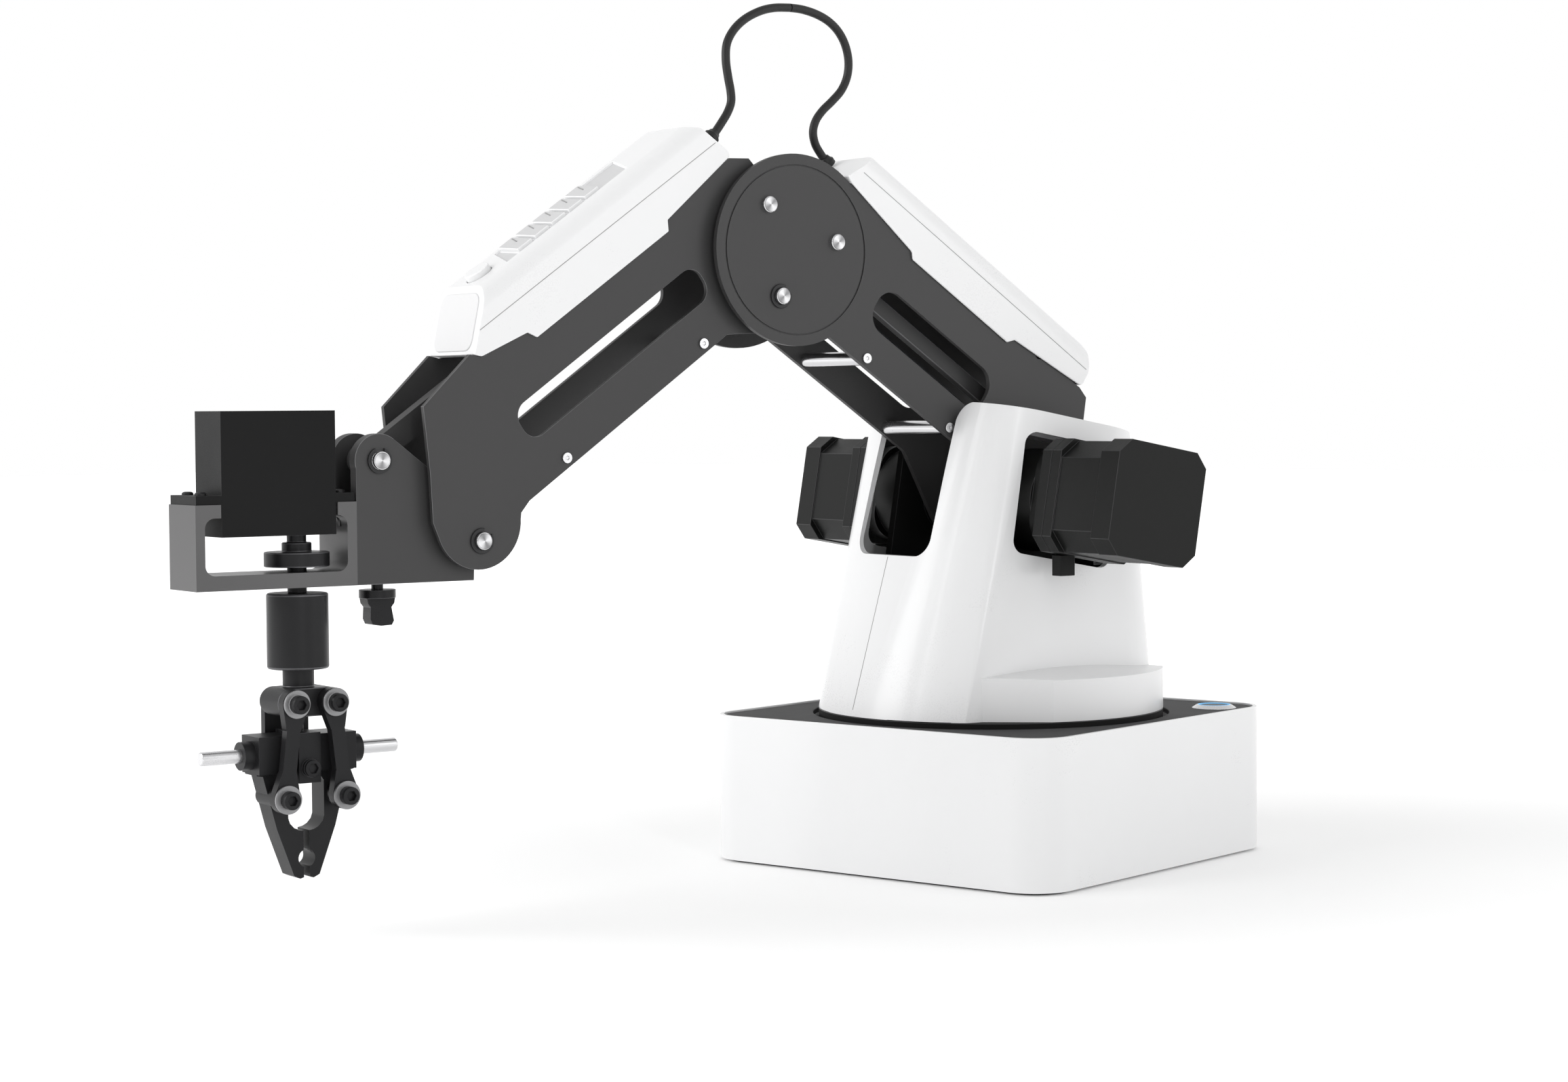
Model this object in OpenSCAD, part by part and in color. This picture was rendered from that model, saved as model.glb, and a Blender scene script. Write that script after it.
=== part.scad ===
// Four-axis desktop robot arm with a parallel-link drive and a pneumatic gripper.
// Base bottom centre on the yaw axis is the origin, +X is the base's front face, +Z is up.
// Rear arm, forearm and wrist are drawn in their own frames: x along the arm from its joint, z across it.

/* [Base] */
// Side of the square base
base_w = 158; // [150:1:166]
// Height of the base's rim above the table
base_h = 56.2; // [54:0.1:60]
// Radius of the base's upright corners
base_r = 16; // [10:1:20]
// Wall thickness of the base shell
base_wall = 3; // [2:0.5:4]
// Radius of the turret's round foot
foot_r = 66.5; // [64:0.5:68]

/* [Turret] */
// Turn of the turret from the base's front, at rest
yaw = -16; // [-90:1:90]
// Height of the shoulder axis
shoulder_z = 138; // [136:0.5:140]
// Half width of the slot that the arm swings in
slot_half = 22; // [21.8:0.1:23]
// Half width of the tower across the arm
tower_half = 46.3; // [45:0.1:48]
// Tilt of the two arm motors and of the tower's top
motor_tilt = 10; // [0:1:12]

/* [Rear arm] */
// Distance from the shoulder axis to the elbow axis
rear_len = 135; // [134:0.5:136]
// Angle of the rear arm above the horizontal, at rest
rear_angle = 34; // [20:1:70]
// Half width over the rear arm's plates
rear_half = 20.2; // [20:0.1:20.4]
// Thickness of the rear arm's plates
rear_t = 2; // [1.5:0.1:2.2]

/* [Forearm] */
// Distance from the elbow axis to the wrist axis
fore_len = 147; // [146:0.5:148]
// Angle of the forearm from the horizontal, at rest
fore_angle = -35; // [-60:1:-10]
// Half width over the forearm's plates
fore_half = 15.2; // [15:0.1:15.4]
// Thickness of the forearm's plates
fore_t = 1.8; // [1.5:0.1:2]

/* [Wrist and gripper] */
// Distance from the wrist axis to the tool axis
tool_x = 61.3; // [60:0.1:63]
// Half thickness of the wrist bracket
bracket_half = 10.5; // [10:0.1:11]
// Length of a gripper link between its two pivots
grip_link = 31.3; // [31.1:0.1:31.5]
// Radius of the pivot shafts
shaft_r = 3; // [2.5:0.1:3]

/* [Hidden] */
$fn = 48;
run = 0.05;
elbow_x = rear_len * cos(rear_angle);
elbow_z = shoulder_z + rear_len * sin(rear_angle);
wrist_x = elbow_x + fore_len * cos(fore_angle);
wrist_z = elbow_z + fore_len * sin(fore_angle);

// elbow disc, in the rear arm's frame
disc_x = rear_len + 3.5;
disc_z = 17.8;
disc_r = 34.5;
groove_r = 30.4;
disc_pins = [[157.3, 24.3], [125.5, 30.4]];
shoulder_lobe = 15.5;

// base: power button, sockets on the back as sideways place, width and height, and screw posts
button_at = [-59.5, 64.5, 0];
sockets = [[-48, 11, 11], [-22, 12, 11], [8, 28, 9], [46, 28, 9]];
socket_z = 18.5;
posts = [[70, 40], [70, -40], [-40, 70.5], [-40, -70.5]];

// parallel links: offsets of their pivots from the arm's own axes, level with the ground
rear_link_at = [-20, 18];
fore_link_at = [35.8, 27.7];
crank_r = 25;
link_w = 8;
anchor_y = 3.2;
rear_link_y = 7.6;
triangle_y = 3.2;
link_t = 4;
fore_link_half = 2.6;
rod_y = -11;
crank_y = -16.2;

// arm motors
motor_w = 42.3;
motor_bevel = 5.2;
motor_inner = 54;
motor_outer = 96.5;

// tower sections
foot_z = 57.6;
tower_top = 176;
tower_corner = 24;
tower_wall = 2.6;
slot_floor = 117.6;
step_r = 66.5;
step_z = 73;

// gripper, measured down from the wrist axis
cyl_top = -15.7;
cyl_bottom = -40.8;
grip_top = -46.7;
top_pin = [7, -51.4];
low_pin = [10.6, top_pin[1] - sqrt(grip_link * grip_link - 3.6 * 3.6)];
rod_z = -68.6;
grip_lobe = 4.7;
grip_link_y = 9.3;

// cable route in the turret's frame: from the forearm cover's rear end up to the top of the loop
cable_r = 1.6;
cable_fore_route = [[135.5, 11, 269.6], [133, 10.6, 272], [130, 10, 275.4], [127, 9.4, 279.2],
    [125.2, 9, 283], [125, 8.5, 287], [125.7, 8, 292], [126.2, 7.4, 298], [125.2, 6.6, 304],
    [121.8, 6, 309.2], [116.4, 5.4, 313.6], [109.6, 5, 316.9], [103, 4.5, 318.6], [96, 4, 319.2]];
// and from the top of the loop down to the rear arm cover's elbow end
cable_rear_route = [[95.6, 4, 319.2], [89.6, 3.5, 319], [83, 3, 317.8], [77, 2.4, 315.6], [72, 1.6, 312.2],
    [68.4, 0.8, 307.6], [66.4, 0, 302], [66.6, -0.6, 296.4], [69, -1, 291.2], [73, -1.4, 287],
    [77, -1.8, 283.4], [80, -2, 279.6], [81.2, -2.2, 275.4], [80, -2.6, 271], [77.2, -2.8, 267.2],
    [74.2, -3, 264]];

// ---- frames ----
module in_turret() { rotate([0, 0, yaw]) children(); }
module in_rear() { in_turret() translate([0, 0, shoulder_z]) rotate([0, -rear_angle, 0]) children(); }
module in_fore() { in_turret() translate([elbow_x, 0, elbow_z]) rotate([0, -fore_angle, 0]) children(); }
module at_elbow() { in_turret() translate([elbow_x, 0, elbow_z]) children(); }
module in_wrist() { in_turret() translate([wrist_x, 0, wrist_z]) children(); }
module in_tool() { in_wrist() translate([tool_x, 0, 0]) children(); }

// ---- shared shapes ----
// extrudes an outline in x and z from y0 to y1
module slab(y0, y1) { translate([0, y1, 0]) rotate([90, 0, 0]) linear_extrude(y1 - y0) children(); }
module rod(x, z, r, y0, y1) { translate([x, y1, z]) rotate([90, 0, 0]) cylinder(r = r, h = y1 - y0); }
module rounded(w, d, r) {
    square([w - 2 * r, d], center = true);
    square([w, d - 2 * r], center = true);
    for (sx = [-1, 1], sy = [-1, 1]) translate([sx * (w / 2 - r), sy * (d / 2 - r)]) circle(r = r);
}
module box_outline(x0, z0, x1, z1, r) {
    translate([(x0 + x1) / 2, (z0 + z1) / 2]) rounded(x1 - x0, z1 - z0, r);
}
module mirrored_y() { children(); mirror([0, 1, 0]) children(); }
// a straight bar with round ends from one point to another
module bar(a, b, w) {
    d = b - a;
    len = norm(d);
    translate(a) rotate(atan2(d[1], d[0])) translate([0, -w / 2]) square([len, w]);
    translate(a) circle(d = w);
    translate(b) circle(d = w);
}
// retaining clip: a flat open ring around a pin
module clip(x, z, y0, turn) {
    slab_t = 0.7;
    slab(y0, y0 + slab_t) translate([x, z]) rotate(turn) difference() {
        circle(r = shaft_r + 1.4);
        circle(r = shaft_r);
        translate([-1.6, 0]) square([3.2, shaft_r + 3]);
    }
}
module clipped_pin(x, z, half, plate, turn) {
    rod(x, z, shaft_r, -half, half);
    clip(x, z, plate + 0.05, turn);
    mirror([0, 1, 0]) clip(x, z, plate + 0.05, turn);
}
// button-head screw along y: shank inside, flat head outside
module screw_y(x, z, y0) {
    rod(x, z, 1.5, y0 - 5, y0);
    difference() {
        rod(x, z, 1.9, y0, y0 + 0.8);
        translate([x, y0 + 1, z]) rotate([90, 0, 0]) cylinder(r = 0.7, h = 0.6, $fn = 6);
    }
}

// ---- base ----
module base_shell() color("white") {
    base_walls();
    base_posts();
}
module base_walls() difference() {
    translate([0, 0, 1]) linear_extrude(base_h - 1) rounded(base_w, base_w, base_r);
    translate([0, 0, -1]) linear_extrude(base_h - 3.6)
        rounded(base_w - 2 * base_wall, base_w - 2 * base_wall, base_r - base_wall);
    translate([0, 0, base_h - 2.6]) linear_extrude(3) rounded(base_w - 3.2, base_w - 3.2, base_r - 1.6);
    translate([0, 0, base_h - 5]) cylinder(r = foot_r + 3, h = 6, $fn = 96);
    translate(button_at) translate([0, 0, base_h - 6]) cylinder(r = 7.8, h = 7);
    for (s = sockets) translate([-base_w / 2 - 1, s[0] - s[1] / 2 - 0.3, socket_z - 0.3])
        cube([base_wall + 2, s[1] + 0.6, s[2] + 0.6]);
}
module base_posts() {
    for (p = posts) translate([p[0], p[1], 3.2]) difference() {
        cylinder(r = 4.5, h = base_h - 7);
        translate([0, 0, -1]) cylinder(r = 1.5, h = 13);
    }
}

module base_bottom() color("dimgray") {
    difference() {
        linear_extrude(3.2)
            rounded(base_w - 2 * base_wall - 0.4, base_w - 2 * base_wall - 0.4, base_r - base_wall);
        for (p = posts) translate([p[0], p[1], -1]) {
            cylinder(r = 1.6, h = 6);
            cylinder(r = 3.2, h = 2.6);
        }
        for (sx = [-1, 1], sy = [-1, 1]) translate([sx * 50, sy * 60, -1]) cylinder(r = 2.2, h = 6);
    }
    for (x = [-71, -34], y = [-60, 60]) translate([x, y, 3.2]) cylinder(r = 3, h = socket_z - 4.8);
}
module base_screws() color("silver") for (p = posts) translate([p[0], p[1], 0.2]) {
    cylinder(r = 3, h = 1.4);
    cylinder(r = 1.5, h = 12);
}
module top_plate() color("dimgray") translate([0, 0, base_h - 2.6]) difference() {
    linear_extrude(2) rounded(base_w - 3.4, base_w - 3.4, base_r - 1.7);
    translate([0, 0, -1]) cylinder(r = foot_r + 2.2, h = 4, $fn = 96);
    translate(button_at) translate([0, 0, -1]) cylinder(r = 7.6, h = 4);
}
module button_ring() color("silver") translate(button_at) difference() {
    union() {
        translate([0, 0, base_h - 12]) cylinder(r = 7.4, h = 11.8);
        translate([0, 0, base_h - 0.6]) cylinder(r1 = 8.7, r2 = 6.7, h = 1.3);
    }
    translate([0, 0, base_h - 10]) cylinder(r = 6, h = 12);
}
module power_button() color("silver") translate(button_at) translate([0, 0, base_h - 7]) {
    cylinder(r = 5.9, h = 7.4);
    translate([0, 0, -1.5]) cylinder(r = 3, h = 1.6);
}
module rear_sockets() color("black") {
    for (s = sockets) translate([-base_w / 2 + 0.4, s[0] - s[1] / 2, socket_z]) difference() {
        cube([13, s[1], s[2]]);
        translate([-1, 1.4, 1.4]) cube([9, s[1] - 2.8, s[2] - 2.8]);
    }
}
module control_board() color("darkgreen") translate([0, 0, socket_z - 1.6]) {
    difference() {
        translate([-75, -64, 0]) cube([45, 128, 1.6]);
        for (x = [-71, -34], y = [-60, 60]) translate([x, y, -1]) cylinder(r = 1.4, h = 4);
    }
    for (y = [-50, -32, 26, 46]) translate([-52, y, 1.6]) cube([12, 12, 3]);
    translate([-56, -8, 1.6]) cube([14, 14, 9]);
}
module motor_body(len) {
    h = motor_w / 2;
    b = motor_bevel;
    octagon = [[h - b, h], [b - h, h], [-h, h - b], [-h, b - h], [b - h, -h], [h - b, -h], [h, b - h], [h, h - b]];
    linear_extrude(5.2) polygon(octagon);
    translate([0, 0, 5.1]) linear_extrude(0.5) offset(delta = -0.4) polygon(octagon);
    translate([0, 0, 5.5]) linear_extrude(5) polygon(octagon);
    linear_extrude(len) intersection() {
        offset(delta = -0.5) polygon(octagon);
        rotate(45) square(motor_w * 1.14, center = true);
    }
    translate([0, 0, len - 10]) linear_extrude(10) polygon(octagon);
}
module yaw_motor() color("black") translate([0, 0, 3.2]) {
    motor_body(36);
    translate([0, 0, 36]) cylinder(r = 11, h = 2);
    translate([0, 0, 38]) cylinder(r = 2.5, h = 6.4);
}
module bearing_ring() color("gray") difference() {
    union() {
        translate([0, 0, 43]) cylinder(r = 73, h = base_h - 4.6 - 43, $fn = 96);
        translate([0, 0, 43]) cylinder(r = 69, h = 9.1, $fn = 96);
    }
    translate([0, 0, 40]) cylinder(r = 52.06, h = 14, $fn = 96);
    translate(button_at) cylinder(r = 10, h = 80);
}

// ---- turret ----
module turntable() color("black") in_turret() difference() {
    union() {
        translate([0, 0, 52.4]) cylinder(r = foot_r, h = foot_z - 52.4, $fn = 96);
        translate([0, 0, 44]) cylinder(r = 52, h = 9, $fn = 96);
    }
    translate([0, 0, 40]) cylinder(r = 2.55, h = 8);
    translate([0, 0, 43]) difference() {
        cylinder(r = 47, h = 6, $fn = 96);
        cylinder(r = 18, h = 6);
    }
}
// round foot, flat sides and a sloping front and back
module tower_section(x0, x1, half, r) {
    intersection() {
        translate([(x0 + x1) / 2, 0]) rounded(x1 - x0, 2 * half, r);
        circle(r = foot_r, $fn = 96);
    }
}
module tower_solid(inset) {
    half = tower_half - inset;
    r = tower_corner - inset;
    hull() {
        translate([0, 0, foot_z]) linear_extrude(0.1)
            tower_section(-55.6 + inset, foot_r - inset, half, r, $fn = 64);
        translate([0, 0, tower_top - 0.1]) linear_extrude(0.1)
            tower_section(-41.6 + inset, 31.4 - inset, half, r - 2, $fn = 64);
    }
}
// everything below the tower's tilted top
module under_top(drop) {
    translate([0, 0, 169.6 - drop]) rotate([0, -motor_tilt, 0]) translate([-120, -80, -160]) cube([240, 160, 160]);
}
// low step round the near side of the foot, cut off square to its slanted front end
module step_sector() {
    intersection() {
        translate([0, 0, foot_z]) {
            cylinder(r = step_r, h = step_z - foot_z, $fn = 96);
            translate([0, 0, step_z - foot_z]) cylinder(r1 = step_r, r2 = 46, h = 3, $fn = 96);
        }
        translate([-56, 42, 0]) cube([120, 60, 120]);
        rotate([0, 0, 50]) translate([-200, -100, 0]) cube([261.9, 200, 120]);
    }
}
module window_outline(grow) {
    translate([0, shoulder_z]) rotate(motor_tilt) box_outline(-24.4 - grow, -22.6 - grow, 23.2 + grow, 23 + grow, 5);
}
module tower_shell() color("white") in_turret() difference() {
    union() {
        intersection() {
            tower_solid(0);
            under_top(0);
        }
        step_sector();
    }
    difference() {
        intersection() {
            tower_solid(tower_wall);
            under_top(tower_wall);
        }
        along_top() translate([slot_half - 1, -11.5]) square([12.5, 30]);
    }
    translate([0, 0, foot_z - 1]) cylinder(r = foot_r - 8, h = 3);
    slab(-90, 90) window_outline(0);
    tower_slot();
    along_top() difference() {
        translate([slot_half - 1, -8.9]) square([9, 20]);
        translate([slot_half + 8.9, -8.9]) circle(r = 9.1);
    }
}
// slot through the tower, rounded at its floor
module tower_slot() translate([-90, 0, 0]) rotate([90, 0, 90]) linear_extrude(180) {
    translate([-slot_half, slot_floor + 7]) square([2 * slot_half, 80]);
    hull() for (s = [-1, 1]) translate([s * (slot_half - 7), slot_floor + 7]) circle(r = 7);
}
// puts an outline in y and z into every section along x, rising with the tilted top
module along_top() translate([0, 0, 169.6]) rotate([90, 0, 90])
    multmatrix([[1, 0, 0, 0], [0, 1, tan(motor_tilt), 0], [0, 0, 1, 0]])
    translate([0, 0, -90]) linear_extrude(180) mirrored_x() children();
module mirrored_x() {
    children();
    mirror([1, 0, 0]) children();
}
module inner_frame() color("black") in_turret() {
    mirrored_y() difference() {
        union() {
            slab(23, 26.4) polygon([[-30, foot_z], [40, foot_z], [30, 120], [24, 156], [18, 159.5],
                [-24, 152.5], [-30, 147]]);
            translate([-30, 23, foot_z]) cube([64, 14, 3]);
        }
        translate([0, 20, shoulder_z]) rotate([-90, 0, 0]) cylinder(r = 15, h = 10);
    }
    difference() {
        translate([-44, -23, 108]) cube([88, 46, 4]);
        translate([0, 0, 100]) cylinder(r = 8, h = 20);
    }
    // fixed lug that holds the rear level link's lower pivot
    slab(anchor_y, anchor_y + link_t) {
        polygon([[-30, 112], [-10, 112], [-14, 128], rear_link_at + [5.4, shoulder_z - 2],
            rear_link_at + [-5.4, shoulder_z - 2], [-28, 130]]);
        translate(rear_link_at + [0, shoulder_z]) circle(r = 5.6);
    }
    rod(rear_link_at[0], rear_link_at[1] + shoulder_z, 2, anchor_y + link_t, rear_link_y + link_t + 0.6);
}
module arm_motor() {
    translate([0, motor_inner, shoulder_z]) rotate([0, -motor_tilt, 0])
        rotate([-90, 0, 0]) motor_body(motor_outer - motor_inner);
}
module shoulder_motor() color("black") in_turret() arm_motor();
module forearm_motor() color("black") in_turret() mirror([0, 1, 0]) arm_motor();
module gearbox() {
    difference() {
        union() {
            rod(0, shoulder_z, 19.5, 26.4, 48);
            slab(48, motor_inner) translate([0, shoulder_z]) rotate(motor_tilt) rounded(37, 37, 10);
            rod(0, shoulder_z, 14.8, 22.6, 26.4);
        }
        rod(0, shoulder_z, 6.05, 20, 36);
    }
}
module shoulder_gearbox() color("#1c1c1c") in_turret() gearbox();
module forearm_gearbox() color("#1c1c1c") in_turret() mirror([0, 1, 0]) gearbox();

// ---- rear arm ----
module rear_outline() {
    circle(r = shoulder_lobe);
    translate([disc_x, disc_z]) circle(r = disc_r, $fn = 128);
    polygon([[7.3, -13.7], [33, 0], [rear_len, 0], [rear_len, 50], [131, 52], [126, 56], [4.6, 56],
        [3.2, 51], [0.3, 51.2], [-4.7, 49.8], [-8.6, 41.5], [-15, 20], [-shoulder_lobe, 0]]);
}
module rear_slot() { box_outline(36.6, 14.2, 98.4, 30.8, 7.4); }
module rear_holes() {
    translate([rear_len, 0]) circle(r = shaft_r);
    for (p = disc_pins) translate(p) circle(r = shaft_r);
    for (x = [45, 91]) translate([x, 3]) circle(r = 1.5);
    for (x = [24, 106]) translate([x, 50]) circle(r = 1.5);
}
module rear_plate(bore) {
    difference() {
        slab(rear_half - rear_t, rear_half) difference() {
            rear_outline();
            rear_slot();
            rear_holes();
            circle(r = bore);
        }
        translate([disc_x, rear_half - 0.5, disc_z]) rotate([-90, 0, 0]) difference() {
            cylinder(r = groove_r + 0.35, h = 2, $fn = 128);
            translate([0, 0, -1]) cylinder(r = groove_r - 0.35, h = 4, $fn = 128);
        }
    }
}
module rear_plate_near() color("#4b4b4b") in_rear() rear_plate(6);
module rear_plate_far() color("#4b4b4b") in_rear() mirror([0, 1, 0]) rear_plate(9.1);
module rear_spacers() color("silver") in_rear() {
    inner = rear_half - rear_t;
    for (p = [[45, 3], [91, 3], [24, 50], [106, 50]]) difference() {
        rod(p[0], p[1], 2.6, -inner, inner);
        rod(p[0], p[1], 1.5, inner - 6, inner + 1);
        rod(p[0], p[1], 1.5, -inner - 1, 6 - inner);
    }
}
module rear_screws() color("silver") in_rear() mirrored_y()
    for (x = [45, 91]) screw_y(x, 3, rear_half);
// an arm cover: side outline crossed with a rounded cross-section
module cover_solid(half, top, r, long) {
    translate([-40, 0, 0]) rotate([90, 0, 90]) linear_extrude(long) {
        translate([-half, -20]) square([2 * half, top + 20 - r]);
        translate([-half + r, -20]) square([2 * half - 2 * r, top + 20]);
        for (s = [-1, 1]) translate([s * (half - r), top - r]) circle(r = r);
    }
}
rear_cover_top = 68;
module rear_cover() color("white") in_rear() {
    half = rear_half + 1;
    difference() {
        intersection() {
            cover_solid(half, rear_cover_top, 8, 240);
            slab(-half, half) polygon([[135, 53.2], [132.2, 52], [96, 47.2], [94.2, 45], [40, 45],
                [37.4, 47.8], [1, 51.6], [0, 53], [0, 58], [3.4, 64.6], [8.6, 68], [127.4, 68]]);
        }
        intersection() {
            cover_solid(rear_half, rear_cover_top - 2, 7, 240);
            slab(-rear_half, rear_half) polygon([[2.6, 30], [2.6, 57.6], [5.6, 63.4], [9.6, 66],
                [125.4, 66], [131.6, 54], [131.6, 30]]);
        }
    }
}
module elbow_disc_pins() color("silver") in_rear() mirrored_y() for (p = disc_pins) {
    rod(p[0], p[1], shaft_r, 17, rear_half + 1.5);
}
module elbow_pin() color("silver") in_rear() clipped_pin(rear_len, 0, 22.4, rear_half, 20);
// output flange of the shoulder gearbox, bolted to the near plate; the far plate turns on a bush
module shoulder_hub() color("gray") in_rear() {
    rod(0, 0, 6, rear_half - rear_t, 34);
    rod(0, 0, 11, rear_half, 22);
    mirror([0, 1, 0]) difference() {
        union() {
            rod(0, 0, 9.1, rear_half - rear_t, rear_half);
            rod(0, 0, 11, rear_half, 22);
        }
        rod(0, 0, 6.1, 10, 30);
    }
}

// ---- level links and forearm drive ----
module link_bar(a, b, w, bore, y0, y1) {
    slab(y0, y1) difference() {
        union() {
            bar(a, b, w - 2);
            translate(a) circle(d = w + 1.6);
            translate(b) circle(d = w + 1.6);
        }
        translate(a) circle(r = bore);
        translate(b) circle(r = bore);
    }
}
module rear_level_link() color("#3a3a3a") in_turret() translate([0, 0, shoulder_z])
    link_bar(rear_link_at, rear_link_at + [elbow_x, elbow_z - shoulder_z], link_w, 2 + run,
        rear_link_y, rear_link_y + link_t);
module elbow_triangle() color("#3a3a3a") at_elbow() {
    slab(triangle_y, triangle_y + link_t) difference() {
        union() {
            bar([0, 0], rear_link_at, 10);
            bar([0, 0], fore_link_at, 10);
            bar(rear_link_at, fore_link_at, 6);
        }
        circle(r = shaft_r + run);
    }
    difference() {
        rod(0, 0, 4, -13.2, 13.2);
        rod(0, 0, shaft_r + run, -14, 14);
    }
    rod(rear_link_at[0], rear_link_at[1], 2, triangle_y + link_t, rear_link_y + link_t + 0.6);
    rod(fore_link_at[0], fore_link_at[1], 2, -fore_link_half - 0.6, triangle_y);
}
module forearm_level_link() color("#3a3a3a") in_wrist() {
    upper = fore_link_at - [fore_len * cos(fore_angle), fore_len * sin(fore_angle)];
    slab(-fore_link_half, fore_link_half) difference() {
        union() {
            bar(upper, fore_link_at, link_w);
            translate(fore_link_at) circle(r = 5.4);
        }
        translate(upper) circle(r = 2 + run);
        translate(fore_link_at) circle(r = shaft_r + run);
    }
}
module crank_frame() {
    in_turret() translate([0, 0, shoulder_z]) rotate([0, -(fore_angle + 180), 0]) children();
}
module crank() color("gray") crank_frame() {
    slab(crank_y, crank_y + link_t) bar([0, 0], [crank_r, 0], 12);
    rod(0, 0, 6, -34, crank_y);
    rod(crank_r, 0, 2, crank_y + link_t, rod_y + link_t + 1);
}
module crank_bush() color("goldenrod") crank_frame() difference() {
    union() {
        rod(crank_r, 0, 3, crank_y + link_t + 0.1, rod_y + link_t + 0.3);
        rod(crank_r, 0, 4, crank_y + link_t + 0.1, rod_y - 0.1);
    }
    rod(crank_r, 0, 2 + run, -20, 0);
}
module drive_rod() color("#3a3a3a") in_turret() {
    tail = [crank_r * cos(fore_angle + 180), crank_r * sin(fore_angle + 180)];
    translate([0, 0, shoulder_z]) link_bar(tail, tail + [elbow_x, elbow_z - shoulder_z], link_w + 1, 3 + run,
        rod_y, rod_y + link_t);
}

// ---- forearm ----
wrist_lobe = [144, 5.8];
module fore_outline() {
    circle(r = 13);
    translate([-crank_r, 0]) circle(r = 7);
    translate(wrist_lobe) circle(r = 16.2);
    polygon([[0, -13], [9, -9.4], [24, 0], [124, 0], [129, -1.4], [133, -6], [wrist_lobe[0], -8], [159.6, 10],
        [158.3, 15.9], [149.7, 29.7], [138.6, 49.7], [114, 53.8], [111, 50.5], [107.8, 49.9], [107.6, 54],
        [105, 56], [-9.8, 56], [-10.2, 50.6], [-13, 50.6], [-20, 46], [-27, 7], [-crank_r, -7]]);
}
module fore_holes() {
    circle(r = 4);
    translate([fore_len, 0]) circle(r = shaft_r);
    translate([-crank_r, 0]) circle(r = 3);
    box_outline(21.2, 15.4, 111.8, 28.6, 5.6);
    for (x = [34.4, 103.6]) translate([x, 3.3]) circle(r = 1.5);
}
module fore_plate() {
    slab(fore_half - fore_t, fore_half) difference() {
        fore_outline();
        fore_holes();
    }
}
module forearm_plate_near() color("#4b4b4b") in_fore() fore_plate();
module forearm_plate_far() color("#4b4b4b") in_fore() mirror([0, 1, 0]) fore_plate();
module forearm_spacers() color("silver") in_fore() {
    inner = fore_half - fore_t;
    for (x = [34.4, 103.6]) difference() {
        rod(x, 3.3, 2.4, -inner, inner);
        rod(x, 3.3, 1.5, inner - 6, inner + 1);
        rod(x, 3.3, 1.5, -inner - 1, 6 - inner);
    }
    rod(-crank_r, 0, 3, -fore_half, rod_y + link_t + 0.6);
}
module forearm_screws() color("silver") in_fore() mirrored_y()
    for (x = [34.4, 103.6]) screw_y(x, 3.3, fore_half);
fore_cover_top = 69.3;
button_x = 88;
module forearm_cover() color("white") in_fore() {
    half = fore_half + 1.1;
    difference() {
        intersection() {
            cover_solid(half, fore_cover_top, 6, 240);
            slab(-half, half) polygon([[113, 53], [110.9, 50.8], [91.6, 47.3], [89.4, 43.8], [24, 43.8],
                [22, 47.3], [-12.8, 51.2], [-13.6, 53], [-8.6, 66], [-4.6, 69.3], [95.6, 69.3]]);
        }
        intersection() {
            cover_solid(fore_half, fore_cover_top - 2, 5, 240);
            slab(-fore_half, fore_half) polygon([[108, 30], [108, 54.6], [94, 67.3], [-4, 67.3],
                [-10.6, 54], [-10.6, 30]]);
        }
        translate([button_x, 0, 60]) cylinder(r = 5, h = 12);
        translate([0, 0, fore_cover_top - 0.7]) linear_extrude(2)
            polygon([[15.5, -8.7], [74.5, -8.7], [80.5, 8.7], [21.5, 8.7]]);
    }
    for (i = [0:4]) translate([37.3 + i * 8.2, 0, fore_cover_top - 0.8]) linear_extrude(1.9)
        polygon([[-4.4, -8], [2.4, -8], [4.3, 8], [-2.5, 8]]);
}
module unlock_button() color("whitesmoke") in_fore() translate([button_x, 0, fore_cover_top - 4.6]) {
    cylinder(r = 4.7, h = 6.7);
    cylinder(r = 5.4, h = 2.2);
}
module elbow_bushes() color("goldenrod") in_fore() mirrored_y() difference() {
    union() {
        rod(0, 0, 4, fore_half - fore_t, fore_half);
        rod(0, 0, 6, fore_half, rear_half - rear_t - 0.1);
    }
    rod(0, 0, shaft_r + run, 0, 30);
}
module wrist_pin() color("silver") in_fore() clipped_pin(fore_len, 0, fore_half + 2.2, fore_half, 70);

// ---- wrist ----
bracket_inner = 6.3;
frame_x0 = 44.4;
frame_x1 = 101.6;
module bracket_outline() {
    q = fore_link_at;
    circle(r = 9.3);
    translate(q) circle(r = 9);
    polygon([[0.5, -13.5], [frame_x0, -13.5], [frame_x0, q[1]], q + [-5.5, 7.12], [-5.7, 7.34], [0, 0]]);
}
module bracket_plates() color("#444444") in_wrist() mirrored_y() difference() {
    slab(bracket_inner, bracket_half) difference() {
        bracket_outline();
        circle(r = shaft_r + run);
        translate(fore_link_at) circle(r = shaft_r);
    }
}
module bracket_block() color("#333333") in_wrist() {
    difference() {
        slab(-bracket_inner, bracket_inner) polygon([[24, -13.5], [frame_x0, -13.5], [frame_x0, 6],
            [38, 6], [36, -6], [24, -6]]);
        translate([31.8, 0, -14]) cylinder(r = 2.1, h = 7);
    }
    mirrored_y() difference() {
        rod(0, 0, 5.4, bracket_half, fore_half - fore_t - 0.1);
        rod(0, 0, shaft_r + run, 0, 20);
    }
}
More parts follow.
